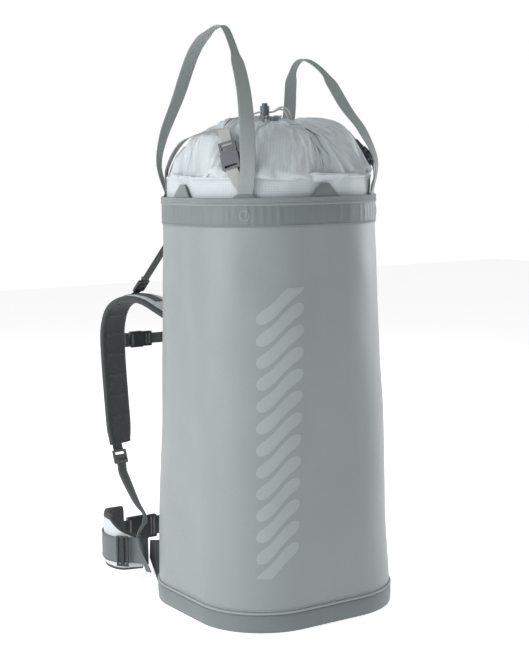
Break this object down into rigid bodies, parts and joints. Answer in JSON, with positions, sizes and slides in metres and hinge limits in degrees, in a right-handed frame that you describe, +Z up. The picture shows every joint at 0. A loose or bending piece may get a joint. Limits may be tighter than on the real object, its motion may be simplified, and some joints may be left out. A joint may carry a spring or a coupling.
{
  "type": "rope storage bag",
  "caption": "Tall rounded-square rope bag with drawstring lid, two haul loops, buckled lid straps, shoulder straps and a padded hip belt.",
  "frame": {"origin": "middle of the base on the ground", "axes": "+Z up the tube, +Y out of the back that carries the harness, +X to the right seen from the front"},
  "size_m": [0.3954, 0.5445, 0.9761],
  "materials": {
    "tarp": "coated tarpaulin, satin",
    "tarp_dark": "darker coated tarpaulin band",
    "piping": "light piping",
    "ripstop": "light ripstop nylon",
    "handle_web": "grey polyester webbing",
    "lid_web": "light grey webbing",
    "harness_web": "dark webbing",
    "belt_web": "grey 50 mm webbing",
    "pad": "padded mesh and fabric",
    "fin": "light padded belt fin",
    "cord": "round drawcord",
    "plastic": "moulded nylon buckle",
    "spring": "steel spring"
  },
  "bodies": {
    "bag": {"body_tube": "tarp", "base_panel": "tarp_dark", "base_band": "tarp_dark", "base_piping": "piping", "collar_band": "tarp_dark", "collar_binding": "piping", "middle_tabs": "tarp", "handle_feet": "handle_web", "foot_rings": "piping", "back_pad": "pad", "harness_yoke": "harness_web", "lumbar_pad": "pad", "shoulder_pad_left": "pad", "shoulder_pad_right": "pad", "load_lifters": "harness_web", "lower_strap_left": "harness_web", "lower_strap_right": "harness_web", "rear_tabs": "tarp_dark", "hip_fin_left": "fin", "hip_fin_right": "fin", "hip_webbing_left": "belt_web", "hip_webbing_right": "belt_web", "hip_web_short": "harness_web", "hip_socket": "plastic", "belt_sliders": "plastic"},
    "handle_left": {"handle_left": "handle_web"},
    "handle_right": {"handle_right": "handle_web"},
    "lid": {"sleeve_band": "ripstop", "sleeve_crown": "ripstop", "drawcord_upper": "cord", "drawcord_lower": "cord", "lid_strap_left": "lid_web", "lid_strap_right": "lid_web", "lid_strap_ends": "lid_web", "lid_socket_left": "plastic", "lid_socket_right": "plastic", "lid_plug_left": "plastic", "lid_plug_right": "plastic"},
    "cord_lock": {"cord_lock_barrel": "plastic", "cord_lock_spring": "spring"},
    "cord_lock_button": {"cord_lock_button": "plastic"},
    "lid_latch_upper_left": {"lid_latch_upper_left": "plastic"},
    "lid_latch_lower_left": {"lid_latch_lower_left": "plastic"},
    "lifter_lock_left": {"lifter_lock_left": "plastic"},
    "strap_lock_left": {"strap_lock_left": "plastic"},
    "lid_latch_upper_right": {"lid_latch_upper_right": "plastic"},
    "lid_latch_lower_right": {"lid_latch_lower_right": "plastic"},
    "lifter_lock_right": {"lifter_lock_right": "plastic"},
    "strap_lock_right": {"strap_lock_right": "plastic"},
    "sternum": {"sternum_clips": "plastic", "sternum_web_short": "harness_web", "sternum_socket": "plastic"},
    "sternum_plug": {"sternum_plug": "plastic", "sternum_web_long": "harness_web"},
    "hip_plug": {"hip_plug": "plastic", "hip_web_long": "harness_web"},
    "sternum_latch_upper": {"sternum_latch_upper": "plastic"},
    "sternum_latch_lower": {"sternum_latch_lower": "plastic"},
    "hip_latch_upper": {"hip_latch_upper": "plastic"},
    "hip_latch_lower": {"hip_latch_lower": "plastic"}
  },
  "joints": [
    {"name": "handle_left_swing", "type": "hinge", "parent": "bag", "child": "handle_left", "pos_m": [-0.13001, 0, 0.71], "axis": [0, -1, 0], "range_deg": [-4, 50]},
    {"name": "handle_right_swing", "type": "hinge", "parent": "bag", "child": "handle_right", "pos_m": [0.13001, 0, 0.71], "axis": [0, 1, 0], "range_deg": [-4, 50]},
    {"name": "sleeve_extend", "type": "slide", "parent": "bag", "child": "lid", "axis": [0, 0, 1], "range_m": [0, 0.02]},
    {"name": "cord_lock_slide", "type": "slide", "parent": "lid", "child": "cord_lock", "axis": [0.8412, -0.5408, 0], "range_m": [-0.0025, 0.0018]},
    {"name": "cord_lock_press", "type": "slide", "parent": "cord_lock", "child": "cord_lock_button", "axis": [0, 0, -1], "range_m": [0, 0.003], "stiffness_N_per_m": 400, "deforming": ["cord_lock_spring"]},
    {"name": "lid_latch_upper_left_squeeze", "type": "hinge", "parent": "lid", "child": "lid_latch_upper_left", "pos_m": [-0.13445, -0.10639, 0.77049], "axis": [0.7767, 0.5975, -0.1992], "range_deg": [0, 8], "stiffness_Nm_per_rad": 0.4},
    {"name": "lid_latch_lower_left_squeeze", "type": "hinge", "parent": "lid", "child": "lid_latch_lower_left", "pos_m": [-0.14302, -0.09647, 0.76686], "axis": [-0.7767, -0.5975, 0.1992], "range_deg": [0, 8], "stiffness_Nm_per_rad": 0.4},
    {"name": "lifter_lock_left_tilt", "type": "hinge", "parent": "bag", "child": "lifter_lock_left", "pos_m": [-0.10294, 0.28254, 0.5236], "axis": [-0.9421, -0.3355, 0], "range_deg": [0, 30]},
    {"name": "strap_lock_left_tilt", "type": "hinge", "parent": "bag", "child": "strap_lock_left", "pos_m": [-0.12158, 0.33283, 0.19552], "axis": [-0.9465, -0.3171, 0.0603], "range_deg": [0, 20]},
    {"name": "lid_latch_upper_right_squeeze", "type": "hinge", "parent": "lid", "child": "lid_latch_upper_right", "pos_m": [0.14088, -0.07779, 0.77312], "axis": [0.8433, -0.1054, 0.527], "range_deg": [0, 8], "stiffness_Nm_per_rad": 0.4},
    {"name": "lid_latch_lower_right_squeeze", "type": "hinge", "parent": "lid", "child": "lid_latch_lower_right", "pos_m": [0.14633, -0.06724, 0.7665], "axis": [-0.8433, 0.1054, -0.527], "range_deg": [0, 8], "stiffness_Nm_per_rad": 0.4},
    {"name": "lifter_lock_right_tilt", "type": "hinge", "parent": "bag", "child": "lifter_lock_right", "pos_m": [0.10294, 0.28254, 0.5236], "axis": [-0.9421, 0.3355, 0], "range_deg": [0, 30]},
    {"name": "strap_lock_right_tilt", "type": "hinge", "parent": "bag", "child": "strap_lock_right", "pos_m": [0.12158, 0.33283, 0.19552], "axis": [-0.9465, 0.3171, -0.0603], "range_deg": [0, 20]},
    {"name": "sternum_height", "type": "slide", "parent": "bag", "child": "sternum", "axis": [0, 0, 1], "range_m": [-0.025, 0.02]},
    {"name": "sternum_unclip", "type": "slide", "parent": "sternum", "child": "sternum_plug", "axis": [1, 0, 0], "range_m": [0, 0.018]},
    {"name": "hip_unclip", "type": "slide", "parent": "bag", "child": "hip_plug", "axis": [1, 0, 0], "range_m": [0, 0.026]},
    {"name": "sternum_latch_upper_squeeze", "type": "hinge", "parent": "sternum_plug", "child": "sternum_latch_upper", "pos_m": [-0.058, 0.35699, 0.4298], "axis": [0, -1, 0], "range_deg": [0, 8], "stiffness_Nm_per_rad": 0.4},
    {"name": "sternum_latch_lower_squeeze", "type": "hinge", "parent": "sternum_plug", "child": "sternum_latch_lower", "pos_m": [-0.058, 0.35699, 0.4162], "axis": [0, 1, 0], "range_deg": [0, 8], "stiffness_Nm_per_rad": 0.4},
    {"name": "hip_latch_upper_squeeze", "type": "hinge", "parent": "hip_plug", "child": "hip_latch_upper", "pos_m": [-0.067, 0.338, 0.0768], "axis": [0, -1, 0], "range_deg": [0, 8], "stiffness_Nm_per_rad": 0.4},
    {"name": "hip_latch_lower_squeeze", "type": "hinge", "parent": "hip_plug", "child": "hip_latch_lower", "pos_m": [-0.067, 0.338, 0.0472], "axis": [0, 1, 0], "range_deg": [0, 8], "stiffness_Nm_per_rad": 0.4}
  ],
  "couplings": [
    {"joint": "lid_latch_lower_left_squeeze", "follows": "lid_latch_upper_left_squeeze", "ratio": 1},
    {"joint": "lid_latch_lower_right_squeeze", "follows": "lid_latch_upper_right_squeeze", "ratio": 1},
    {"joint": "sternum_latch_lower_squeeze", "follows": "sternum_latch_upper_squeeze", "ratio": 1},
    {"joint": "hip_latch_lower_squeeze", "follows": "hip_latch_upper_squeeze", "ratio": 1}
  ]
}
